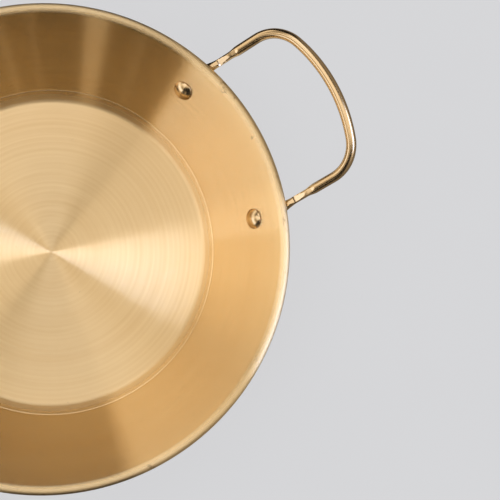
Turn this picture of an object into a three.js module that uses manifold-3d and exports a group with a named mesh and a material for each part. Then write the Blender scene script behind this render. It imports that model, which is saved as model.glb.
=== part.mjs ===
// A two-handled pan: a round bowl pressed from one sheet of gold-toned stainless steel, with a flat base,
// a straight flaring wall and a turned-out lip, and two loops of bent rod whose ends are pressed flat and
// riveted to the outside of the wall.
// Millimetres, +Z up. The origin is on the bowl's axis at the underside of the base, and the handles lie
// along X.
import * as THREE from "three";
import { mergeVertices } from "three/addons/utils/BufferGeometryUtils.js";
import Module from "manifold-3d";

// Bowl
const RIM_DIAMETER = 280; // across the outside of the lip
const BASE_DIAMETER = 182.6; // where the flat base and the wall would meet, on the sheet's middle
const BOWL_HEIGHT = 51.2; // from the underside to the top of the lip
const SHEET = 1; // thickness of the bowl's sheet
const LIP_WIDTH = 4.4; // from where the wall and the lip would meet to the outside of the rim
const BASE_BEND_RADIUS = 7; // the three bends are measured on the sheet's middle
const LIP_BEND_RADIUS = 2;
const EDGE_BEND_RADIUS = 1.9;
const EDGE_DROP = 0.3; // straight edge below the last bend

// Handles
const ROD_DIAMETER = 5.8;
const LOOP_WIDTH = 90; // between the middles of a loop's two legs
const LOOP_SLOPE = 28; // degrees that a loop rises above level, from the knees outwards
const LEG_SLOPE = 20; // degrees that a leg rises under the lip, as far as the knee
const LOOP_REACH = 45.6; // from the rim to the middle of the bar, in plan
const CORNER_RADIUS = 22; // on the rod's middle
const BAR_BOW_RADIUS = 87; // the bar is bowed outwards, on the rod's middle
const LIP_CLEARANCE = 0.5; // between a leg and the edge that it passes under
const KNEE_REACH = 6; // from the rim to the knee, in plan
const KNEE_RADIUS = 8;
const TAB_BEND_RADIUS = 10; // bend between the tab and the leg
const TAB_WIDTH = 10.5;
const TAB_THICKNESS = 2.4;
const TAB_TAIL = 7.5; // from the rivet to the tab's round end
const NECK_WIDTH = 3.3; // the rod is nipped in sideways at the knee
const NECK_THICKNESS = 5;
const NECK_LENGTH = 10; // from the knee outwards, until the rod is round again
const TAB_SQUARENESS = 6; // of the sections: 2 is an ellipse, and more is nearer to a rectangle
const NECK_SQUARENESS = 3;
const ROD_SQUARENESS = 2;

// Rivets
const RIVET_DROP = 16.4; // below the top of the lip, on the sheet's middle
const RIVET_INSET = 2.3; // nearer to the handle's middle than the leg
const HEAD_DIAMETER = 11.7; // the polished head inside the bowl
const HEAD_HEIGHT = 2.6;
const HEAD_EDGE = 0.8; // upright edge under the dome
const SHANK_DIAMETER = 4.8;
const BUTTON_DIAMETER = 8.4; // the head that is formed on the tab
const BUTTON_HEIGHT = 1.9;
const BUTTON_EDGE = 0.5;

// Clearances
const SEAT_GAP = 0.3; // between faces that rest on each other
const HOLE_CLEARANCE = 0.3; // round a shank, on the radius

// Fineness
const BOWL_SEGMENTS = 72;
const BEND_STEPS = 4;
const ROD_SIDES = 16;
const NECK_SPACING = 2.5; // between the sections of a tab and a neck
const CORNER_STEPS = 9;
const BAR_STEPS = 6; // along half of the bar
const TAB_END_STEPS = 5;
const RIVET_SEGMENTS = 20;
const HEAD_STEPS = 5;
const BUTTON_STEPS = 3;

const GOLD = 0xd9b16d;
const brushedGold = () => new THREE.MeshStandardMaterial({ color: GOLD, metalness: 1, roughness: 0.38 });
const polishedGold = () => new THREE.MeshStandardMaterial({ color: GOLD, metalness: 1, roughness: 0.12 });

const wasm = await Module();
wasm.setup();

const vector2 = (x, y) => new THREE.Vector2(x, y);
const vector3 = (x, y, z) => new THREE.Vector3(x, y, z);

// A closed geometry as a solid that can be cut
function toSolid(geometry) {
  const bare = new THREE.BufferGeometry();
  bare.setAttribute("position", geometry.getAttribute("position"));
  if (geometry.index) {
    bare.setIndex(geometry.index);
  }
  const merged = mergeVertices(bare, 1e-4);
  const corners = [];
  for (let i = 0; i < merged.index.count; i += 3) {
    const [a, b, c] = [0, 1, 2].map((k) => merged.index.getX(i + k));
    if (a !== b && b !== c && c !== a) {
      corners.push(a, b, c);
    }
  }
  return new wasm.Manifold(
    new wasm.Mesh({
      numProp: 3,
      vertProperties: new Float32Array(merged.attributes.position.array),
      triVerts: new Uint32Array(corners),
    }),
  );
}

// A cut solid as a geometry again
function toGeometry(solid) {
  const mesh = solid.getMesh();
  const geometry = new THREE.BufferGeometry();
  geometry.setAttribute("position", new THREE.BufferAttribute(mesh.vertProperties, 3));
  geometry.setIndex(new THREE.BufferAttribute(mesh.triVerts, 1));
  const flat = geometry.toNonIndexed();
  flat.computeVertexNormals();
  return flat;
}

// Straight runs from stop to stop with their corners rounded, as places { point, direction }.
// A stop is { point, radius }, and the two ends have no radius. The points can be 2-D or 3-D.
function roundedPath(stops, steps) {
  const heading = (from, to) => to.clone().sub(from).normalize();
  const [first, second] = stops;
  const path = [{ point: first.point.clone(), direction: heading(first.point, second.point) }];
  for (let i = 1; i < stops.length - 1; i++) {
    const [previous, corner, next] = stops.slice(i - 1, i + 2);
    const before = heading(previous.point, corner.point);
    const after = heading(corner.point, next.point);
    const turn = Math.acos(THREE.MathUtils.clamp(before.dot(after), -1, 1));
    if (turn < 1e-4) {
      continue;
    }
    // Two bends share the run between them, and a bend next to an end has that run to itself
    const roomBefore = corner.point.distanceTo(previous.point) * (i === 1 ? 0.98 : 0.49);
    const roomAfter = corner.point.distanceTo(next.point) * (i === stops.length - 2 ? 0.98 : 0.49);
    const setback = Math.min(corner.radius * Math.tan(turn / 2), roomBefore, roomAfter);
    const radius = setback / Math.tan(turn / 2);
    const start = corner.point.clone().addScaledVector(before, -setback);
    const inward = after.clone().addScaledVector(before, -Math.cos(turn)).normalize();
    for (let k = 0; k <= steps; k++) {
      const angle = (turn * k) / steps;
      const point = start.clone().addScaledVector(before, radius * Math.sin(angle));
      point.addScaledVector(inward, radius * (1 - Math.cos(angle)));
      const direction = before.clone().multiplyScalar(Math.cos(angle));
      direction.addScaledVector(inward, Math.sin(angle));
      path.push({ point, direction });
    }
  }
  const [beforeLast, last] = stops.slice(-2);
  path.push({ point: last.point.clone(), direction: heading(beforeLast.point, last.point) });
  return path;
}

// The sheet's middle, from the axis outwards
const rimRadius = RIM_DIAMETER / 2;
const baseRadius = BASE_DIAMETER / 2;
const lipRadius = rimRadius - LIP_WIDTH;
const edgeRadius = rimRadius - SHEET / 2;
const lipMiddle = BOWL_HEIGHT - SHEET / 2;
const baseMiddle = SHEET / 2;
const edgeEnd = lipMiddle - EDGE_BEND_RADIUS - EDGE_DROP;
const wallAngle = Math.atan2(lipMiddle - baseMiddle, lipRadius - baseRadius);

function bowlGeometry() {
  const middle = roundedPath(
    [
      { point: vector2(0, baseMiddle) },
      { point: vector2(baseRadius, baseMiddle), radius: BASE_BEND_RADIUS },
      { point: vector2(lipRadius, lipMiddle), radius: LIP_BEND_RADIUS },
      { point: vector2(edgeRadius, lipMiddle), radius: EDGE_BEND_RADIUS },
      { point: vector2(edgeRadius, edgeEnd) },
    ],
    BEND_STEPS,
  );
  const face = (distance) =>
    middle.map(({ point, direction }) =>
      vector2(point.x - direction.y * distance, point.y + direction.x * distance),
    );
  const outline = [...face(-SHEET / 2), ...face(SHEET / 2).reverse()];
  return new THREE.LatheGeometry(outline, BOWL_SEGMENTS).rotateX(Math.PI / 2);
}

// A rivet's place on the wall: where its axis meets the sheet's middle, the way inwards along that axis,
// and the way up the wall. side is 1 or -1, for the two legs of the handle at +X.
function rivetPlace(side) {
  const height = BOWL_HEIGHT - RIVET_DROP;
  const radius = baseRadius + (height - baseMiddle) / Math.tan(wallAngle);
  const azimuth = Math.asin((side * (LOOP_WIDTH / 2 - RIVET_INSET)) / radius);
  const outward = vector3(Math.cos(azimuth), Math.sin(azimuth), 0);
  const upward = vector3(0, 0, 1);
  return {
    middle: outward.clone().multiplyScalar(radius).addScaledVector(upward, height),
    inward: upward
      .clone()
      .multiplyScalar(Math.cos(wallAngle))
      .addScaledVector(outward, -Math.sin(wallAngle)),
    upWall: outward
      .clone()
      .multiplyScalar(Math.cos(wallAngle))
      .addScaledVector(upward, Math.sin(wallAngle)),
  };
}

// Distances along a rivet's axis from the sheet's middle: the head's seat inwards, and the others outwards
const headSeat = SHEET / 2 + SEAT_GAP;
const tabSeat = SHEET / 2 + SEAT_GAP;
const tabMiddle = tabSeat + TAB_THICKNESS / 2;
const buttonSeat = tabSeat + TAB_THICKNESS + SEAT_GAP;

// Half of a rivet head's outline, from its seat over its upright edge to the top of the dome
function headOutline(diameter, height, edge, seat, steps) {
  const radius = diameter / 2;
  const rise = height - edge;
  const sphere = (radius * radius + rise * rise) / (2 * rise);
  const half = Math.asin(radius / sphere);
  const outline = [vector2(radius, seat)];
  for (let k = 0; k < steps; k++) {
    const angle = half * (1 - k / steps);
    const lift = sphere * (Math.cos(angle) - Math.cos(half));
    outline.push(vector2(sphere * Math.sin(angle), seat + edge + lift));
  }
  outline.push(vector2(0, seat + height));
  return outline;
}

// A rivet along Y, with its polished head at +Y
function rivetGeometry() {
  const head = headOutline(HEAD_DIAMETER, HEAD_HEIGHT, HEAD_EDGE, headSeat, HEAD_STEPS);
  const button = headOutline(BUTTON_DIAMETER, BUTTON_HEIGHT, BUTTON_EDGE, buttonSeat, BUTTON_STEPS);
  const outline = [
    ...button.map(({ x, y }) => vector2(x, -y)).reverse(),
    vector2(SHANK_DIAMETER / 2, -buttonSeat),
    vector2(SHANK_DIAMETER / 2, headSeat),
    ...head,
  ];
  return new THREE.LatheGeometry(outline, RIVET_SEGMENTS);
}

// The solid to cut away for a rivet's hole, through the wall and the tab
function rivetHole(place) {
  const radius = SHANK_DIAMETER / 2 + HOLE_CLEARANCE;
  const reach = 2 * buttonSeat;
  const cutter = new THREE.CylinderGeometry(radius, radius, 2 * reach, RIVET_SEGMENTS);
  cutter.applyQuaternion(new THREE.Quaternion().setFromUnitVectors(vector3(0, 1, 0), place.inward));
  cutter.translate(place.middle.x, place.middle.y, place.middle.z);
  return toSolid(cutter);
}

// Extra places along a path, so that no two are further apart than the spacing
function refined(path, spacing) {
  const places = [path[0]];
  for (let i = 1; i < path.length; i++) {
    const [from, to] = [path[i - 1], path[i]];
    const count = Math.ceil(from.point.distanceTo(to.point) / spacing);
    for (let k = 1; k <= count; k++) {
      const point = from.point.clone().lerp(to.point, k / count);
      const direction = from.direction.clone().lerp(to.direction, k / count).normalize();
      places.push({ point, direction });
    }
  }
  return places;
}

// The sections of one half of a handle, from the tab's end to the bar's middle, on the +Y side.
// Each is { point, direction, normal, width, thickness, squareness }, and its thickness runs along normal.
function halfHandle() {
  const loopSlope = THREE.MathUtils.degToRad(LOOP_SLOPE);
  const legSlope = THREE.MathUtils.degToRad(LEG_SLOPE);
  const legSide = LOOP_WIDTH / 2;
  const { middle, inward, upWall } = rivetPlace(1);
  const rivetOnTab = middle.clone().addScaledVector(inward, -tabMiddle);
  const tabEnd = rivetOnTab.clone().addScaledVector(upWall, -TAB_TAIL);

  // A leg crosses the rim in plan just under the edge of the lip, and its knee is a little further out
  const crossing = Math.sqrt(rimRadius * rimRadius - legSide * legSide);
  const crossingHeight = edgeEnd - LIP_CLEARANCE - NECK_THICKNESS / 2 / Math.cos(legSlope);
  const kneeX = crossing + KNEE_REACH;
  const kneeZ = crossingHeight + KNEE_REACH * Math.tan(legSlope);
  const knee = vector3(kneeX, legSide, kneeZ);

  // Places on the loop's slope, by their distance up the slope from the knees and to the side
  const onLoop = (reach, side) =>
    vector3(kneeX + reach * Math.cos(loopSlope), side, kneeZ + reach * Math.sin(loopSlope));
  const loopNormal = vector3(-Math.sin(loopSlope), 0, Math.cos(loopSlope));

  // The tab's line meets the leg's slope here
  const legNormal = vector3(-Math.sin(legSlope), 0, Math.cos(legSlope));
  const below = knee.clone().sub(rivetOnTab).dot(legNormal);
  const tabBend = rivetOnTab.clone().addScaledVector(upWall, below / upWall.dot(legNormal));

  // A corner's arc touches the leg's line, and touches the bar's arc from inside
  const barReach = (rimRadius + LOOP_REACH - kneeX) / Math.cos(loopSlope);
  const barCentre = barReach - BAR_BOW_RADIUS;
  const cornerSide = legSide - CORNER_RADIUS;
  const cornerCentre = barCentre + Math.sqrt((BAR_BOW_RADIUS - CORNER_RADIUS) ** 2 - cornerSide ** 2);
  const barAngle = Math.atan2(cornerSide, cornerCentre - barCentre);

  const leg = roundedPath(
    [
      { point: tabEnd },
      { point: tabBend, radius: TAB_BEND_RADIUS },
      { point: knee, radius: KNEE_RADIUS },
      { point: onLoop(NECK_LENGTH, legSide) },
    ],
    BEND_STEPS,
  );
  const arc = (centre, side, radius, from, to, steps) =>
    Array.from({ length: steps + 1 }, (_, k) => {
      const angle = THREE.MathUtils.lerp(from, to, k / steps);
      const point = onLoop(centre + radius * Math.cos(angle), side + radius * Math.sin(angle));
      const along = onLoop(Math.sin(angle), -Math.cos(angle)).sub(onLoop(0, 0));
      return { point, direction: along };
    });
  const corner = arc(cornerCentre, cornerSide, CORNER_RADIUS, Math.PI / 2, barAngle, CORNER_STEPS);
  const bar = arc(barCentre, 0, BAR_BOW_RADIUS, barAngle, 0, BAR_STEPS).slice(1);

  // The section changes along the way from the tab over the neck to the round rod
  const toKnee = tabEnd.distanceTo(tabBend) + tabBend.distanceTo(knee);
  const flatEnd = TAB_TAIL + BUTTON_DIAMETER / 2;
  const tabRadius = TAB_WIDTH / 2;
  const { smoothstep, lerp } = THREE.MathUtils;
  let travelled = 0;
  const legSections = refined(leg, NECK_SPACING).map(({ point, direction }, i, places) => {
    if (i > 0) {
      travelled += point.distanceTo(places[i - 1].point);
    }
    const toNeck = smoothstep(travelled, flatEnd, toKnee);
    const toRod = smoothstep(travelled, toKnee, toKnee + NECK_LENGTH);
    return {
      point,
      direction,
      normal: inward.clone().lerp(loopNormal, toNeck),
      width: lerp(lerp(TAB_WIDTH, NECK_WIDTH, toNeck), ROD_DIAMETER, toRod),
      thickness: lerp(lerp(TAB_THICKNESS, NECK_THICKNESS, toNeck), ROD_DIAMETER, toRod),
      squareness: lerp(lerp(TAB_SQUARENESS, NECK_SQUARENESS, toNeck), ROD_SQUARENESS, toRod),
      travelled,
    };
  });
  const rounding = Array.from({ length: TAB_END_STEPS }, (_, k) => {
    const angle = ((k + 0.5) / TAB_END_STEPS) * (Math.PI / 2);
    return {
      ...legSections[0],
      point: tabEnd.clone().addScaledVector(upWall, tabRadius * (1 - Math.cos(angle))),
      width: TAB_WIDTH * Math.sin(angle),
    };
  });
  const rodSections = [...corner, ...bar].map(({ point, direction }) => ({
    point,
    direction,
    normal: loopNormal,
    width: ROD_DIAMETER,
    thickness: ROD_DIAMETER,
    squareness: ROD_SQUARENESS,
  }));
  return [...rounding, ...legSections.filter((section) => section.travelled > tabRadius), ...rodSections];
}

// One section as a ring of points
function sectionRing({ point, direction, normal, width, thickness, squareness }) {
  const across = direction.clone().cross(normal).normalize();
  const through = across.clone().cross(direction).normalize();
  const swell = (value) => Math.sign(value) * Math.abs(value) ** (2 / squareness);
  return Array.from({ length: ROD_SIDES }, (_, k) => {
    const angle = (2 * Math.PI * (k + 0.5)) / ROD_SIDES;
    return point
      .clone()
      .addScaledVector(across, (width / 2) * swell(Math.cos(angle)))
      .addScaledVector(through, (thickness / 2) * swell(Math.sin(angle)));
  });
}

// A closed skin over a row of rings, with a flat cap at each end
function loftGeometry(rings) {
  const sides = rings[0].length;
  const points = rings.flat();
  const indices = [];
  for (let i = 0; i < rings.length - 1; i++) {
    for (let k = 0; k < sides; k++) {
      const [a, b] = [i * sides + k, i * sides + ((k + 1) % sides)];
      indices.push(a, a + sides, b, b, a + sides, b + sides);
    }
  }
  const last = (rings.length - 1) * sides;
  for (let k = 1; k < sides - 1; k++) {
    indices.push(0, k, k + 1);
    indices.push(last, last + k + 1, last + k);
  }
  const geometry = new THREE.BufferGeometry().setFromPoints(points);
  geometry.setIndex(indices);
  return geometry;
}

function handleGeometry() {
  const half = halfHandle();
  const mirrored = half.slice(0, -1).map((section) => ({
    ...section,
    point: section.point.clone().multiply(vector3(1, -1, 1)),
    direction: section.direction.clone().multiply(vector3(-1, 1, -1)),
    normal: section.normal.clone().multiply(vector3(1, -1, 1)),
  }));
  const sections = [...half, ...mirrored.reverse()];
  let solid = toSolid(loftGeometry(sections.map(sectionRing)));
  for (const side of [1, -1]) {
    solid = solid.subtract(rivetHole(rivetPlace(side)));
  }
  return toGeometry(solid);
}

// The two ends of the bowl, each with the turn that brings the handle at +X there
const ends = [
  { name: "right", turn: 0 },
  { name: "left", turn: Math.PI },
];
const legs = [
  { name: "front", side: -1 },
  { name: "back", side: 1 },
];

const group = new THREE.Group();

function addMesh(name, geometry, material, parent) {
  const mesh = new THREE.Mesh(geometry, material);
  mesh.name = name;
  parent.add(mesh);
  return mesh;
}

let bowl = toSolid(bowlGeometry());
for (const end of ends) {
  for (const leg of legs) {
    const hole = toGeometry(rivetHole(rivetPlace(leg.side))).rotateZ(end.turn);
    bowl = bowl.subtract(toSolid(hole));
  }
}
addMesh("pan_body", toGeometry(bowl), brushedGold(), group);

for (const end of ends) {
  const fitting = new THREE.Group();
  fitting.rotation.z = end.turn;
  group.add(fitting);
  addMesh(`handle_${end.name}`, handleGeometry(), polishedGold(), fitting);
  for (const leg of legs) {
    // Seen from above, both ends have their front rivet at -Y
    const side = leg.side * (end.turn === 0 ? 1 : -1);
    const place = rivetPlace(side);
    const rivet = addMesh(`rivet_${end.name}_${leg.name}`, rivetGeometry(), polishedGold(), fitting);
    rivet.position.copy(place.middle);
    rivet.quaternion.setFromUnitVectors(vector3(0, 1, 0), place.inward);
  }
}

export default group;
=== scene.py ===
from math import asin, atan2, cos, hypot, pi, radians, sin, sqrt, tan

import bmesh
import bpy
from mathutils import Matrix, Vector


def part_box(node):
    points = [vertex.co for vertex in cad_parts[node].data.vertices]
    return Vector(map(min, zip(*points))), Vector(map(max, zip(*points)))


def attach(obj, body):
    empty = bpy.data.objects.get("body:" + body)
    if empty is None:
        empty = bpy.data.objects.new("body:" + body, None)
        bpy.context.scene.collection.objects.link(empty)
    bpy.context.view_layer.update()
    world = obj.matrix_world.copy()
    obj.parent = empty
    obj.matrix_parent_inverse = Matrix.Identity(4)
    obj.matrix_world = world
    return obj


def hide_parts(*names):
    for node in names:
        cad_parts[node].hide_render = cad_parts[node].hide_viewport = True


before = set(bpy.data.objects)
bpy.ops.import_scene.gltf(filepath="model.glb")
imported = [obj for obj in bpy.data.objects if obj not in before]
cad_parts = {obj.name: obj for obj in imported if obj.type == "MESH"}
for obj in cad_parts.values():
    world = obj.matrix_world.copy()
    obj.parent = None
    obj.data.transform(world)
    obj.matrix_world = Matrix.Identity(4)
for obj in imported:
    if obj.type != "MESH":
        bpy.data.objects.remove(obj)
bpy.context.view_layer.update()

MM = 0.001

# The bowl: one round of gold-toned stainless steel, pressed into a flat base and a flaring wall. Its lip is
# turned out and its edge rolled down. The inside is brushed round and round on a spindle, the base and the
# wall in separate passes that meet in a fine ring low on the wall.
SHEET = 1 * MM
BOWL_SEGMENTS = 192
RIM_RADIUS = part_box("pan_body")[1][0]
BOWL_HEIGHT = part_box("pan_body")[1][2]
BASE_RADIUS = 91.3 * MM  # where the flat base and the wall would meet, on the sheet's middle
LIP_WIDTH = 4.4 * MM  # from where the wall and the lip would meet to the outside of the rim
BASE_BEND_RADIUS = 4 * MM
LIP_BEND_RADIUS = 4 * MM
EDGE_BEND_RADIUS = 1.9 * MM
EDGE_DROP = 0.3 * MM
PASS_RING_RADIUS = 97 * MM  # the fine ring where the two brushing passes meet
PASS_RING_WIDTH = 0.8 * MM
PASS_RING_DEPTH = 0.35 * MM
RIVET_DROP = 16.4 * MM  # below the top of the lip, on the sheet's middle
RIVET_BAND = 3.2 * MM  # the wall has a ring of edges this far above and below the rivet holes' middles
HOLE_RADIUS = 2.7 * MM

sheet_low = SHEET / 2
sheet_high = BOWL_HEIGHT - SHEET / 2
edge_radius = RIM_RADIUS - SHEET / 2
lip_radius = RIM_RADIUS - LIP_WIDTH
wall_angle = atan2(sheet_high - sheet_low, lip_radius - BASE_RADIUS)


def wall_height(radius):
    """The height of the middle of the wall's sheet."""
    return sheet_low + (radius - BASE_RADIUS) * tan(wall_angle)


def start_piece(name):
    """Names the primitive that was just added and opens it for editing."""
    bpy.ops.object.transform_apply()
    piece = bpy.context.object
    piece.name = piece.data.name = name
    bpy.ops.object.mode_set(mode="EDIT")
    return piece


def select_where(kind, test):
    """Selects only those of the open piece's verts, edges or faces whose corners all pass a test."""
    bpy.ops.mesh.select_mode(type={"verts": "VERT", "edges": "EDGE", "faces": "FACE"}[kind])
    bpy.ops.mesh.select_all(action="DESELECT")
    data = bpy.context.object.data
    mesh = bmesh.from_edit_mesh(data)
    for item in getattr(mesh, kind):
        corners = [item] if kind == "verts" else item.verts
        item.select_set(all(test(corner.co) for corner in corners))
    bmesh.update_edit_mesh(data)


def draw_out(rings):
    """Draws the selected round edge through (radius, height) rings, one extrusion for each."""
    for (radius, height), (next_radius, next_height) in zip(rings, rings[1:]):
        bpy.ops.mesh.extrude_region_move(
            TRANSFORM_OT_translate={"value": (0, 0, next_height - height)}
        )
        scale = next_radius / radius
        bpy.ops.transform.resize(value=(scale, scale, 1), center_override=(0, 0, next_height))


def bend_ring(radius, height, bend_radius, turn, steps):
    """Rounds the bowl's corner at one ring."""
    near = SHEET / 100

    def on_ring(place):
        return abs(hypot(place.x, place.y) - radius) < near and abs(place.z - height) < near

    select_where("edges", on_ring)
    bpy.ops.mesh.bevel(offset=bend_radius * tan(turn / 2), segments=steps, affect="EDGES")


def apply_modifier(piece, kind, **settings):
    modifier = piece.modifiers.new(kind.title(), kind)
    for setting, value in settings.items():
        setattr(modifier, setting, value)
    bpy.context.view_layer.objects.active = piece
    bpy.ops.object.modifier_apply(modifier=modifier.name)


def cut_away(piece, cutter):
    """Takes a cutter's shape out of a piece, and then the cutter out of the scene."""
    apply_modifier(piece, "BOOLEAN", operation="DIFFERENCE", solver="EXACT", object=cutter)
    bpy.data.objects.remove(cutter)


def smooth(piece, angle):
    """Shades a piece smoothly but for its edges that turn by more than an angle in degrees."""
    bpy.ops.object.select_all(action="DESELECT")
    piece.select_set(True)
    bpy.context.view_layer.objects.active = piece
    bpy.ops.object.shade_smooth_by_angle(angle=radians(angle))


bpy.ops.object.select_all(action="DESELECT")
dimple = 3 * MM
bpy.ops.mesh.primitive_circle_add(
    vertices=BOWL_SEGMENTS, radius=dimple, fill_type="TRIFAN", location=(0, 0, sheet_low)
)
bowl = start_piece("bowl")
select_where("edges", lambda place: hypot(place.x, place.y) > dimple / 2)
rivet_height = BOWL_HEIGHT - RIVET_DROP
rivet_radius = BASE_RADIUS + (rivet_height - sheet_low) / tan(wall_angle)
band = RIVET_BAND * cos(wall_angle)
pass_ring = PASS_RING_WIDTH / 2
wall_radii = [
    PASS_RING_RADIUS - 2 * pass_ring,
    PASS_RING_RADIUS - pass_ring,
    PASS_RING_RADIUS,
    PASS_RING_RADIUS + pass_ring,
    PASS_RING_RADIUS + 2 * pass_ring,
    rivet_radius - band,
    rivet_radius + band,
]
draw_out(
    [
        (dimple, sheet_low),
        (BASE_RADIUS / 3, sheet_low),
        (2 * BASE_RADIUS / 3, sheet_low),
        (BASE_RADIUS, sheet_low),
        *[(radius, wall_height(radius)) for radius in wall_radii],
        (lip_radius, sheet_high),
        (edge_radius, sheet_high),
        (edge_radius, sheet_high - EDGE_BEND_RADIUS - EDGE_DROP),
    ]
)
bend_ring(edge_radius, sheet_high, EDGE_BEND_RADIUS, pi / 2, 6)
bend_ring(lip_radius, sheet_high, LIP_BEND_RADIUS, wall_angle, 8)
bend_ring(BASE_RADIUS, sheet_low, BASE_BEND_RADIUS, wall_angle, 8)
select_where("verts", lambda place: abs(hypot(place.x, place.y) - PASS_RING_RADIUS) < pass_ring / 2)
bpy.ops.transform.translate(value=(0, 0, -PASS_RING_DEPTH))
bpy.ops.mesh.select_all(action="SELECT")
bpy.ops.mesh.normals_make_consistent(inside=False)
bpy.ops.object.mode_set(mode="OBJECT")
apply_modifier(bowl, "SOLIDIFY", thickness=SHEET, offset=0, use_even_offset=True)

# the wall's frame at each rivet: its middle on the sheet, and a matrix whose Z points into the bowl
RIVET_SPREAD = 42.7 * MM  # from the handle's middle line
rivet_turn = asin(RIVET_SPREAD / rivet_radius)
rivet_places = {}
for end, facing in (("right", 0), ("left", pi)):
    for side, turn in (("front", -rivet_turn), ("back", rivet_turn)):
        rivet_places[f"{end}_{side}"] = (
            Matrix.Rotation(facing + (turn if end == "right" else -turn), 4, "Z")
            @ Matrix.Translation((rivet_radius, 0, rivet_height))
            @ Matrix.Rotation(-wall_angle, 4, "Y")
        )
for place in rivet_places.values():
    bpy.ops.object.select_all(action="DESELECT")
    bpy.ops.mesh.primitive_cylinder_add(vertices=40, radius=HOLE_RADIUS, depth=6 * SHEET)
    punch = bpy.context.object
    punch.matrix_world = place
    cut_away(bowl, punch)
smooth(bowl, 35)


class Reading:
    """A value at a finish's surface. A sum of readings adds the Math nodes that work it out."""

    def __init__(self, finish, socket):
        self.finish, self.socket = finish, socket

    def math(self, operation, first, second=0.0):
        return self.finish.node("ShaderNodeMath", {"operation": operation}, {0: first, 1: second})

    def __add__(self, other):
        return self.math("ADD", self, other)

    __radd__ = __add__

    def __mul__(self, other):
        return self.math("MULTIPLY", self, other)

    __rmul__ = __mul__

    def __sub__(self, other):
        return self.math("SUBTRACT", self, other)

    def __rsub__(self, other):
        return self.math("SUBTRACT", other, self)

    def __truediv__(self, other):
        return self.math("DIVIDE", self, other)


class Finish:
    """The nodes of one finish, or of the studio's own light."""

    def __init__(self, owner):
        owner.use_nodes = True
        self.owner, self.tree = owner, owner.node_tree

    def fill(self, node, inputs):
        """Gives a node's sockets their readings or fixed values."""
        for socket, value in inputs.items():
            if isinstance(value, Reading):
                self.tree.links.new(value.socket, node.inputs[socket])
            else:
                node.inputs[socket].default_value = value

    def node(self, kind, settings, inputs, output=0):
        made = self.tree.nodes.new(kind)
        for setting, value in settings.items():
            setattr(made, setting, value)
        self.fill(made, inputs)
        return Reading(self, made.outputs[output])


# brushed finish: the brush leaves long fine grooves round the axis, whose sides tip the surface inwards and
# outwards, and the spindle's even marks. The wall is brushed a little finer than the base and the lip. Near
# the rim the colour is scuffed here and there.
GOLD = (0.82, 0.57, 0.27, 1)
GOLD_PALE = (0.90, 0.66, 0.33, 1)
GOLD_SCUFFED = (0.42, 0.27, 0.13, 1)
LINES_PER_METRE = 520
LINE_LENGTH = 0.5  # how many times a line's strength changes round the bowl, for each turn of one radian
LINE_STRENGTH = 1.4
LINE_TILT = 0.12
LINE_ROUGHNESS = 0.02
TURNS_PER_METRE = 340  # the spindle's even marks
TURN_STRENGTH = 0.12
WALL_CALM = 0.5  # how much fainter the lines and marks are on the wall
GROOVES_PER_METRE = 4000
BASE_ROUGHNESS, WALL_ROUGHNESS = 0.285, 0.18
BASE_TILT, WALL_TILT = 0.23, 0.2
SCUFFS_PER_METRE = 130
SCUFF_FROM, SCUFF_FULL = 0.67, 0.73  # how high the scuffs' noise has to be
SCUFF_STRENGTH = 0.7
SCUFFED_RIM = 0.07  # added to that noise at the lip
brushed = Finish(bpy.data.materials.new("brushed gold"))
place = brushed.node("ShaderNodeTexCoord", {}, {}, "Object")
flat = brushed.node("ShaderNodeVectorMath", {"operation": "MULTIPLY"}, {0: place, 1: (1, 1, 0)})
radius = brushed.node("ShaderNodeVectorMath", {"operation": "LENGTH"}, {0: flat}, "Value")
round_axis = brushed.node("ShaderNodeVectorMath", {"operation": "NORMALIZE"}, {0: flat})


def brush_lines(length, per_metre, detail):
    """A noise drawn out into lines round the axis."""
    arc = brushed.node("ShaderNodeVectorMath", {"operation": "SCALE"}, {0: round_axis, "Scale": length})
    across = brushed.node("ShaderNodeCombineXYZ", {}, {"Z": radius * per_metre})
    along = brushed.node("ShaderNodeVectorMath", {"operation": "ADD"}, {0: arc, 1: across})
    inputs = {"Vector": along, "Scale": 1, "Detail": detail, "Roughness": 0.65}
    return brushed.node("ShaderNodeTexNoise", {}, inputs)


def rising(value, low, high, top=1):
    """From nothing at a low value to the top at a high one, and level past both."""
    inputs = {"Value": value, "From Min": low, "From Max": high, "To Max": top}
    return brushed.node("ShaderNodeMapRange", {}, inputs)


lines = brush_lines(LINE_LENGTH, LINES_PER_METRE, 3)
bands = brush_lines(LINE_LENGTH, LINES_PER_METRE / 8, 2)
past_base = rising(radius, PASS_RING_RADIUS - 3 * MM, PASS_RING_RADIUS - MM)
past_wall = rising(radius, lip_radius - 1.5 * MM, lip_radius + MM)
on_wall = past_base - past_wall
turns = lines.math("SINE", radius * (2 * pi * TURNS_PER_METRE) + bands * 8)
marks = (lines - 0.5) * LINE_STRENGTH + turns * TURN_STRENGTH
marks = marks * (1 - on_wall * WALL_CALM) + bands
tone = brushed.node("ShaderNodeMix", {"data_type": "RGBA"}, {"Factor": marks, 6: GOLD, 7: GOLD_PALE}, 2)
spots = brushed.node(
    "ShaderNodeTexNoise", {}, {"Vector": place, "Scale": SCUFFS_PER_METRE, "Detail": 6, "Roughness": 0.75}
)
spots = spots + rising(radius, rivet_radius, lip_radius, SCUFFED_RIM)
scuffs = rising(spots, SCUFF_FROM, SCUFF_FULL) * SCUFF_STRENGTH
tone = brushed.node("ShaderNodeMix", {"data_type": "RGBA"}, {"Factor": scuffs, 6: tone, 7: GOLD_SCUFFED}, 2)

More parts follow.
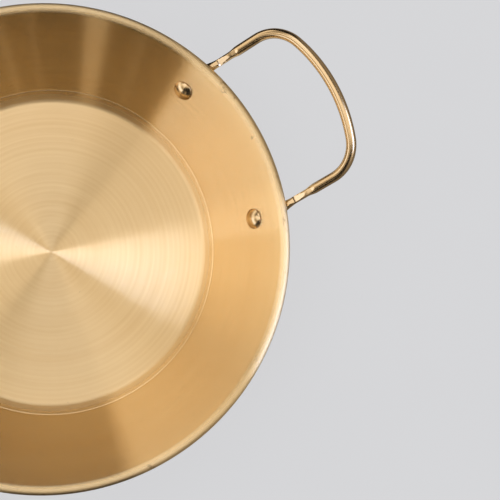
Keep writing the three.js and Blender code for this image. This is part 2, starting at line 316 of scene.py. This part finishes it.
# a groove's sides lean one way and then the other, steepest at its edges
side = lines.math("PINGPONG", radius * (2 * GROOVES_PER_METRE) + lines * 3, 1) * 2 - 1
tilt = BASE_TILT + on_wall * (WALL_TILT - BASE_TILT)
slope = side * (1.2 + side * side * 0.9) * tilt + (lines - 0.5) * LINE_TILT
roughness = BASE_ROUGHNESS + on_wall * (WALL_ROUGHNESS - BASE_ROUGHNESS) + (lines - 0.5) * LINE_ROUGHNESS
surface = brushed.node("ShaderNodeNewGeometry", {}, {}, "Normal")
groove = brushed.node("ShaderNodeVectorMath", {"operation": "CROSS_PRODUCT"}, {0: (0, 0, 1), 1: round_axis})
across = brushed.node("ShaderNodeVectorMath", {"operation": "CROSS_PRODUCT"}, {0: groove, 1: surface})
tipped = brushed.node("ShaderNodeVectorMath", {"operation": "SCALE"}, {0: across, "Scale": slope})
tipped = brushed.node("ShaderNodeVectorMath", {"operation": "ADD"}, {0: surface, 1: tipped})
brushed.fill(
    brushed.tree.nodes["Principled BSDF"],
    {
        "Base Color": tone,
        "Metallic": 1,
        "Roughness": roughness,
        "Anisotropic": 1,
        "Anisotropic Rotation": 0.25,
        "Normal": brushed.node("ShaderNodeVectorMath", {"operation": "NORMALIZE"}, {0: tipped}),
    },
)
bowl.data.materials.clear()
bowl.data.materials.append(brushed.owner)
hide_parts("pan_body")
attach(bowl, "root")

# The handles: each is one drawn rod, bent into a bowed loop, nipped in at the knees just outside the rim, and
# cranked under the lip. Its ends are pressed flat into tabs that lie up the outside of the wall, and punched
# for the rivets. The rod is polished after bending.
ROD_DIAMETER = 5.8 * MM
ROD_SIDES = 32
LOOP_WIDTH = 90 * MM  # between the middles of a loop's two legs
LOOP_SLOPE = radians(28)
LEG_SLOPE = radians(20)  # under the lip, as far as the knee
LOOP_REACH = 45.6 * MM  # from the rim to the middle of the bar, in plan
CORNER_RADIUS = 22 * MM
BAR_BOW_RADIUS = 87 * MM
LIP_CLEARANCE = 0.5 * MM
KNEE_REACH = 6 * MM  # from the rim to the knee, in plan
KNEE_RADIUS = 8 * MM
TAB_BEND_RADIUS = 10 * MM
TAB_OFFSET = 2 * MM  # from the middle of the wall's sheet to the middle of the tab
TAB_WIDTH = 10.5 * MM
TAB_THICKNESS = 2.4 * MM
TAB_TAIL = 7.5 * MM  # from the rivet to the tab's round end
NECK_WIDTH = 4.3 * MM
NECK_THICKNESS = 5 * MM
NECK_LENGTH = 8 * MM  # from the knee outwards, as far as the neck is narrow
NECK_FLARE = 6 * MM  # from there, until the rod is round again
TAB_BULGE, NECK_BULGE = 1.7, 1.25  # the rod is drawn out this far before its faces are flattened
# flats that the jaws leave on the neck: from and to in mm past the knee, the turn in degrees off the top
# towards the inside of the loop, and how far in mm the flat lies from the rod's middle at both ends
JAW_FLATS = [
    (-7, -0.3, -5, 2, 1.9),
    (-7, 13, -42, 2.05, 2.6),
    (-7, 9, 44, 2.1, 2.6),
    (-0.3, 9, -12, 1.2, 2.6),
    (9, 14, -8, 2.35, 2.6),
]
BUTTON_DIAMETER = 8.4 * MM  # the tab keeps its width as far as the rivet's formed end reaches
STATION = 0.8 * MM  # between rings of edges along the rod
NEAR = MM / 1000  # verts closer than this to a place are on it

leg_side = LOOP_WIDTH / 2
crossing = sqrt(RIM_RADIUS**2 - leg_side**2)
leg_top = sheet_high - EDGE_BEND_RADIUS - EDGE_DROP - LIP_CLEARANCE
knee = Vector(
    (
        crossing + KNEE_REACH,
        leg_side,
        leg_top - NECK_THICKNESS / 2 / cos(LEG_SLOPE) + KNEE_REACH * tan(LEG_SLOPE),
    )
)
wall_here = rivet_places["right_back"]
up_wall = (wall_here @ Vector((1, 0, 0, 0))).xyz
outward = (wall_here @ Vector((0, 0, -1, 0))).xyz
on_tab = wall_here.translation + outward * TAB_OFFSET
tab_end = on_tab - up_wall * TAB_TAIL
leg_direction = Vector((cos(LEG_SLOPE), 0, sin(LEG_SLOPE)))
loop_direction = Vector((cos(LOOP_SLOPE), 0, sin(LOOP_SLOPE)))
rise = (knee.z - on_tab.z - (knee.x - on_tab.x) * tan(LEG_SLOPE)) / (up_wall.z - up_wall.x * tan(LEG_SLOPE))
tab_bend = on_tab + up_wall * rise


def on_loop(reach, side):
    """A place on the loop's own plane: how far out from the knees, and how far from its middle line."""
    return Vector((knee.x, side, knee.z)) + loop_direction * reach


bar_reach = (RIM_RADIUS + LOOP_REACH - knee.x) / cos(LOOP_SLOPE)
bar_centre = bar_reach - BAR_BOW_RADIUS
corner_side = leg_side - CORNER_RADIUS
corner_centre = bar_centre + sqrt((BAR_BOW_RADIUS - CORNER_RADIUS) ** 2 - corner_side**2)
bar_angle = atan2(corner_side, corner_centre - bar_centre)


def rounded(before, corner, after, bend_radius, steps):
    """The places along a bend that rounds the corner between two straight runs."""
    into, out = (corner - before).normalized(), (after - corner).normalized()
    turn = into.angle(out)
    start = corner - into * bend_radius * tan(turn / 2)
    centre = start + (out - into * into.dot(out)).normalized() * bend_radius
    axis = into.cross(out)
    return [centre + Matrix.Rotation(turn * k / steps, 3, axis) @ (start - centre) for k in range(steps + 1)]


half_path = [tab_end]
half_path += rounded(tab_end, tab_bend, knee, TAB_BEND_RADIUS, 12)
half_path += rounded(tab_bend, knee, on_loop(corner_centre, leg_side), KNEE_RADIUS, 6)
corner_steps, bar_steps = 24, 16
for k in range(corner_steps):
    angle = pi / 2 - (pi / 2 - bar_angle) * k / corner_steps
    half_path.append(
        on_loop(corner_centre + CORNER_RADIUS * cos(angle), corner_side + CORNER_RADIUS * sin(angle))
    )
for k in range(bar_steps + 1):
    angle = bar_angle * (1 - k / bar_steps)
    half_path.append(on_loop(bar_centre + BAR_BOW_RADIUS * cos(angle), BAR_BOW_RADIUS * sin(angle)))
path = half_path + [Vector((place.x, -place.y, place.z)) for place in reversed(half_path[:-1])]

# the path is filled in between its bends, so that the rod follows it evenly
even_path = []
for start, end in zip(path, path[1:]):
    runs = max(1, round((end - start).length / STATION))
    even_path += [start.lerp(end, k / runs) for k in range(runs)]
even_path.append(path[-1])
rod_length = sum((end - start).length for start, end in zip(even_path, even_path[1:]))
guide_data = bpy.data.curves.new("guide", "CURVE")
guide_data.dimensions = "3D"
guide_data.twist_mode = "Z_UP"
guide_data.use_path_clamp = True
line = guide_data.splines.new("POLY")
line.points.add(len(even_path) - 1)
for point, place in zip(line.points, even_path):
    point.co = (*place, 1)
guide = bpy.data.objects.new("guide", guide_data)
bpy.context.collection.objects.link(guide)


def smooth_step(value, low, high):
    share = min(max((value - low) / (high - low), 0), 1)
    return share * share * (3 - 2 * share)


to_knee = TAB_TAIL + rise + (knee - tab_bend).length
tab_run = TAB_TAIL + BUTTON_DIAMETER / 2
neck_run = to_knee + NECK_LENGTH + NECK_FLARE
stations = [TAB_WIDTH / 2 * (1 - cos(radians(angle))) for angle in (10, 20, 30, 40, 50, 60, 70, 80, 90)]
steps = int((neck_run - stations[-1]) / STATION)
stations += [stations[-1] + (neck_run - stations[-1]) * k / steps for k in range(1, steps + 1)]
steps = int((rod_length / 2 - neck_run) / (1.5 * STATION))
stations += [neck_run + (rod_length / 2 - neck_run) * k / steps for k in range(1, steps + 1)]
stations += [rod_length - station for station in reversed(stations[:-1])]

bpy.ops.object.select_all(action="DESELECT")
bpy.ops.mesh.primitive_cylinder_add(
    vertices=ROD_SIDES,
    radius=ROD_DIAMETER / 2,
    depth=rod_length,
    location=(rod_length / 2, 0, 0),
    rotation=(0, pi / 2, 0),
)
handle = start_piece("handle_rod_right")
for station in stations:
    bpy.ops.mesh.select_all(action="SELECT")
    bpy.ops.mesh.bisect(plane_co=(station, 0, 0), plane_no=(1, 0, 0))


def flatten(station, facing, reach):
    """Flattens one side of a ring of edges, at a reach from the rod's middle."""
    select_where("verts", lambda place: abs(place.x - station) < NEAR and place.dot(facing) > reach)
    if bpy.context.object.data.total_vert_sel:
        to_facing = Matrix((facing.cross((1, 0, 0)), (1, 0, 0), facing)).transposed()
        bpy.ops.transform.resize(
            value=(1, 1, 0),
            orient_type="GLOBAL",
            orient_matrix=to_facing,
            orient_matrix_type="GLOBAL",
            center_override=Vector((station, 0, 0)) + facing * reach,
        )


def press(station, travelled):
    """Presses the rod at one ring of edges to its width and thickness there."""
    to_neck = smooth_step(travelled, tab_run, to_knee)
    to_rod = smooth_step(travelled, to_knee + NECK_LENGTH, neck_run)
    width, thickness, bulge = (
        (tab + (neck - tab) * to_neck) + (rod - neck) * to_rod
        for tab, neck, rod in (
            (TAB_WIDTH, NECK_WIDTH, ROD_DIAMETER),
            (TAB_THICKNESS, NECK_THICKNESS, ROD_DIAMETER),
            (TAB_BULGE, NECK_BULGE, 1),
        )
    )
    if travelled < TAB_WIDTH / 2:
        width *= sqrt(max(1 - (1 - travelled * 2 / TAB_WIDTH) ** 2, 0.01))
    select_where("verts", lambda place: abs(place.x - station) < NEAR)
    bpy.ops.transform.resize(
        value=(1, width / ROD_DIAMETER, thickness * bulge / ROD_DIAMETER), center_override=(station, 0, 0)
    )
    for face in (1, -1):
        level = face * thickness / 2
        select_where("verts", lambda place: abs(place.x - station) < NEAR and place.z * face > level * face)
        if bpy.context.object.data.total_vert_sel:
            bpy.ops.transform.resize(value=(1, 1, 0), center_override=(station, 0, level))
    for begin, end, turn, first, last in JAW_FLATS:
        share = ((travelled - to_knee) / MM - begin) / (end - begin)
        if 0 < share < 1:
            facing = Vector((0, sin(radians(turn)), cos(radians(turn))))
            flatten(station, facing, (first + (last - first) * share) * MM)


for station in [0, *stations, rod_length]:
    travelled = min(station, rod_length - station)
    if travelled < neck_run:
        press(station, travelled)
bpy.ops.object.mode_set(mode="OBJECT")
apply_modifier(handle, "CURVE", object=guide, deform_axis="POS_X")
bpy.data.objects.remove(guide)
for side in ("front", "back"):
    bpy.ops.object.select_all(action="DESELECT")
    bpy.ops.mesh.primitive_cylinder_add(vertices=40, radius=HOLE_RADIUS, depth=12 * SHEET)
    punch = bpy.context.object
    punch.matrix_world = rivet_places[f"right_{side}"]
    cut_away(handle, punch)
smooth(handle, 30)

# polished finish: a bright gold face with a fine drawn grain, left a little uneven by the buffing wheel
POLISHED = (0.74, 0.51, 0.25, 1)
POLISHED_PALE = (0.79, 0.57, 0.3, 1)
BUFFING_PER_METRE, GRAIN_PER_METRE = 160, 2600
RIPPLE_DEPTH = 0.012 * MM
polished = Finish(bpy.data.materials.new("polished gold"))
place = polished.node("ShaderNodeTexCoord", {}, {}, "Object")
buffing = polished.node("ShaderNodeTexNoise", {}, {"Vector": place, "Scale": BUFFING_PER_METRE, "Detail": 3})
grain = polished.node("ShaderNodeTexNoise", {}, {"Vector": place, "Scale": GRAIN_PER_METRE, "Detail": 2})
shine = polished.node(
    "ShaderNodeMix", {"data_type": "RGBA"}, {"Factor": buffing, 6: POLISHED, 7: POLISHED_PALE}, 2
)
ripple = polished.node(
    "ShaderNodeBump", {}, {"Strength": 1, "Distance": RIPPLE_DEPTH, "Height": buffing * 3 + grain * 0.15}
)
polished.fill(
    polished.tree.nodes["Principled BSDF"],
    {
        "Base Color": shine,
        "Metallic": 1,
        "Roughness": 0.17 + buffing * 0.08,
        "Normal": ripple,
    },
)


def copy_turned(piece, name, turn):
    """A copy of a finished piece with its own mesh, turned about the bowl's axis."""
    bpy.ops.object.select_all(action="DESELECT")
    piece.select_set(True)
    bpy.context.view_layer.objects.active = piece
    bpy.ops.object.duplicate(linked=False)
    copy = bpy.context.object
    copy.name = copy.data.name = name
    copy.matrix_world = Matrix.Rotation(turn, 4, "Z")
    bpy.ops.object.transform_apply()
    return copy


for piece, node in (
    (handle, "handle_right"),
    (copy_turned(handle, "handle_rod_left", pi), "handle_left"),
):
    piece.data.materials.clear()
    piece.data.materials.append(polished.owner)
    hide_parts(node)
    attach(piece, "root")

# The rivets: solid pins of the same steel. Each goes in from inside the bowl, where its domed head is buffed
# bright, through the wall and the tab, and its far end is set over the tab as a small flat button.
HEAD_DIAMETER = 11.7 * MM
HEAD_HEIGHT = 2.6 * MM
HEAD_EDGE = 0.4 * MM  # upright edge under the dome
HEAD_EDGE_ROUNDING = 0.15 * MM
HEAD_SEAT = 0.8 * MM  # from the middle of the wall's sheet to the underside of the head
SHANK_DIAMETER = 4.8 * MM
BUTTON_HEIGHT = 1.9 * MM
BUTTON_EDGE = 0.5 * MM
BUTTON_SEAT = 3.5 * MM  # from the middle of the wall's sheet to the button, outwards
RIVET_SIDES = 64


def dome_rings(diameter, height, edge, steps):
    """(radius, height) rings over a dome, from near its top down to its upright edge's foot."""
    across, tall = diameter / 2, height - edge
    sphere = (across**2 + tall**2) / (2 * tall)
    reach = asin(across / sphere)
    rings = []
    for k in range(1, steps + 1):
        angle = reach * k / steps
        rings.append((sphere * sin(angle), height - sphere * (1 - cos(angle))))
    return [*rings, (across, 0)]


head = [
    (radius, HEAD_SEAT + height)
    for radius, height in dome_rings(HEAD_DIAMETER, HEAD_HEIGHT, HEAD_EDGE, 14)
]
button = [
    (radius, -BUTTON_SEAT - height)
    for radius, height in dome_rings(BUTTON_DIAMETER, BUTTON_HEIGHT, BUTTON_EDGE, 8)
]
shank = [(SHANK_DIAMETER / 2, HEAD_SEAT), (SHANK_DIAMETER / 2, -BUTTON_SEAT)]
bpy.ops.object.select_all(action="DESELECT")
bpy.ops.mesh.primitive_circle_add(
    vertices=RIVET_SIDES, radius=head[0][0], fill_type="TRIFAN", location=(0, 0, head[0][1])
)
rivet = start_piece("rivet_pin_right_front")
select_where("edges", lambda place: hypot(place.x, place.y) > head[0][0] / 2)
draw_out(head + shank + button[::-1])
bpy.ops.mesh.edge_face_add()
bpy.ops.mesh.poke()
bpy.ops.mesh.select_all(action="SELECT")
bpy.ops.mesh.normals_make_consistent(inside=False)
select_where(
    "edges", lambda place: place.z > 0 and abs(hypot(place.x, place.y) - HEAD_DIAMETER / 2) < NEAR
)
bpy.ops.mesh.bevel(offset=HEAD_EDGE_ROUNDING, segments=3, affect="EDGES")
bpy.ops.object.mode_set(mode="OBJECT")
rivet.matrix_world = rivet_places["right_front"]
bpy.ops.object.transform_apply()
smooth(rivet, 40)
rivets = {
    "right_front": rivet,
    "right_back": copy_turned(rivet, "rivet_pin_right_back", 2 * rivet_turn),
    "left_back": copy_turned(rivet, "rivet_pin_left_back", pi),
    "left_front": copy_turned(rivet, "rivet_pin_left_front", pi + 2 * rivet_turn),
}
for where, piece in rivets.items():
    piece.data.materials.clear()
    piece.data.materials.append(polished.owner)
    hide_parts(f"rivet_{where}")
    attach(piece, "root")

# The studio: a plain pale table in a plain pale room. The metal is given a tent of paper to reflect, lit in
# panels from behind: brightest on the right and on the left, unlit at the bottom. Only reflections show it.
TURN = radians(28.8)  # of the handle from level, in the picture
TABLE_SIZE = 30
TABLE_GAP = 0.1 * MM  # under the pan, so that the two don't share a plane
TABLE_TONE = (0.68, 0.682, 0.697, 1)
TABLE_TONE_PALE = (0.7, 0.702, 0.716, 1)
TABLE_GLOW = 0.86  # how much of the table's tone stays out of the pan's shadow
ROOM_TONE = (0.85, 0.85, 0.865, 1)
TENT_RADIUS = 6
HEM_RADIUS = 0.15  # the tent's hem lies on the table, as far in as this

bpy.ops.object.select_all(action="DESELECT")
bpy.ops.mesh.primitive_plane_add(size=TABLE_SIZE, location=(0, 0, -TABLE_GAP))
table = bpy.context.object
table.name = "table"
paint = Finish(bpy.data.materials.new("table paint"))
place = paint.node("ShaderNodeTexCoord", {}, {}, "Object")
mottle = paint.node("ShaderNodeTexNoise", {}, {"Vector": place, "Scale": 9, "Detail": 3})
tone = paint.node(
    "ShaderNodeMix", {"data_type": "RGBA"}, {"Factor": mottle, 6: TABLE_TONE, 7: TABLE_TONE_PALE}, 2
)
metal = paint.tree.nodes["Principled BSDF"]
paint.fill(metal, {"Base Color": tone, "Roughness": 0.9, "Specular IOR Level": 0.2})
seen = sum(
    paint.node("ShaderNodeLightPath", {}, {}, f"Is {kind} Ray")
    for kind in ("Camera", "Glossy", "Transmission")
)
glow = paint.node("ShaderNodeEmission", {}, {"Color": tone, "Strength": 1})
surface = paint.node(
    "ShaderNodeMixShader", {}, {0: seen * TABLE_GLOW, 1: Reading(paint, metal.outputs["BSDF"]), 2: glow}
)
paint.fill(paint.tree.nodes["Material Output"], {"Surface": surface})
table.data.materials.append(paint.owner)

room = Finish(bpy.data.worlds.new("room"))
bpy.context.scene.world = room.owner
room.fill(room.tree.nodes["Background"], {"Color": ROOM_TONE, "Strength": 1})

# the lit panels of the tent: from and to round the bowl in degrees from the picture's right, the width of the
# light's soft edge there, from and to in degrees above the table, and how bright it is
PANEL_FADE = 21  # degrees over which a panel's light falls off above and below
TENT_GLOW = 0.01  # between the panels
PANELS = {
    "big window, right": (-28.5, 15.5, 3.5, 40, 40, 3.2),
    "hot end of the window": (-28.5, -10, 25, 40, 40, 1.2),
    "over the window": (-28.5, 15.5, 3.5, 60, 60, 1),
    "fill on the right": (-65, 60, 10, 6, 40, 0.25),
    "top of the picture": (88, 129, 24, 60, 60, 1.9),
    "top left, low": (118.5, 190, 5, 20, 20, 1.4),
    "bottom left, low": (-190, -137, 4, 20, 20, 2),
    "left, high": (160, 190, 8, 60, 60, 1.7),
    "bottom left, high": (-190, -147, 12, 60, 60, 1.4),
    "left, middle": (170, 190, 8, 40, 40, 0.7),
    "left, middle, below": (-190, -176, 8, 40, 40, 0.7),
    "wide gap in the cloth": (-111.5, -108, 2.5, 20, 20, 0.75),
    "narrow gap": (-83.3, -83.3, 1.5, 20, 20, 0.35),
    "faint gap": (-92, -92, 1.5, 20, 20, 0.2),
    "far gap": (-122, -122, 1.5, 20, 20, 0.2),
    "overhead": (-190, 190, 1, 82, 90, 1.3),
}

bpy.ops.object.select_all(action="DESELECT")
bpy.ops.mesh.primitive_uv_sphere_add(segments=72, ring_count=36, radius=TENT_RADIUS)
tent = start_piece("paper_tent")
bpy.ops.mesh.bisect(plane_co=(0, 0, 0), plane_no=(0, 0, 1), clear_inner=True)
select_where("edges", lambda place: abs(place.z) < MM)
hem = HEM_RADIUS / TENT_RADIUS
bpy.ops.mesh.extrude_region_move()
bpy.ops.transform.resize(value=(hem, hem, 1), center_override=(0, 0, 0))
bpy.ops.mesh.select_all(action="SELECT")
bpy.ops.transform.translate(value=(0, 0, MM))
bpy.ops.object.mode_set(mode="OBJECT")
paper = Finish(bpy.data.materials.new("lit paper"))
place = paper.node("ShaderNodeTexCoord", {}, {}, "Object")
turned = paper.node("ShaderNodeVectorRotate", {"rotation_type": "Z_AXIS"}, {"Vector": place, "Angle": TURN})
x = paper.node("ShaderNodeSeparateXYZ", {}, {"Vector": turned}, "X")
y = Reading(paper, x.socket.node.outputs["Y"])
z = Reading(paper, x.socket.node.outputs["Z"])
turn = x.math("ARCTAN2", y, x) * (180 / pi)
height = z.math("ARCSINE", z * (1 / TENT_RADIUS)) * (180 / pi)


def lit_between(value, begin, end, edge):
    """One from begin to end, falling to nothing over an edge on both sides."""
    half = (end - begin) / 2
    off = value.math("ABSOLUTE", value - (begin + end) / 2)
    return paper.node("ShaderNodeMapRange", {}, {"Value": off, "From Min": half + edge, "From Max": half})


light = TENT_GLOW
for begin, end, edge, low, high, level in PANELS.values():
    light += lit_between(turn, begin, end, edge) * lit_between(height, low, high, PANEL_FADE) * level

# lit paper is a little warm where the light is low and cool where it is strong
strength = light.math("MAXIMUM", light, 1)
warm = light * 1.1 / strength.math("POWER", strength, 0.3)
cool = light * 0.91 * strength.math("POWER", strength, 0.6)
colour = paper.node("ShaderNodeCombineColor", {}, {"Red": warm, "Green": light, "Blue": cool})
emission = paper.node("ShaderNodeEmission", {}, {"Color": colour, "Strength": 1})
paper.fill(paper.tree.nodes["Material Output"], {"Surface": emission})
tent.data.materials.append(paper.owner)
tent.visible_camera = False
tent.visible_diffuse = False
tent.visible_shadow = False

# The camera: almost straight above the bowl, tipped a few degrees, with one handle on the right. Its place
# and tips are in the picture's own axes, from the middle of the pan.
CAMERA_LENS = 114.29
CAMERA_PLACE = (0.09142, -0.05393, 0.9512)
CAMERA_TIPPED_UP = radians(3.3184)
CAMERA_TIPPED_LEFT = radians(1.6359)
camera_data = bpy.data.cameras.new("camera")
camera_data.sensor_width = 36
camera_data.lens = CAMERA_LENS
camera_data.clip_end = 100
camera = bpy.data.objects.new("camera", camera_data)
bpy.context.collection.objects.link(camera)
camera.matrix_world = (
    Matrix.Rotation(-TURN, 4, "Z")
    @ Matrix.Translation(CAMERA_PLACE)
    @ Matrix.Rotation(CAMERA_TIPPED_UP, 4, "X")
    @ Matrix.Rotation(-CAMERA_TIPPED_LEFT, 4, "Y")
)
bpy.context.scene.camera = camera
bpy.context.scene.view_settings.view_transform = "Standard"
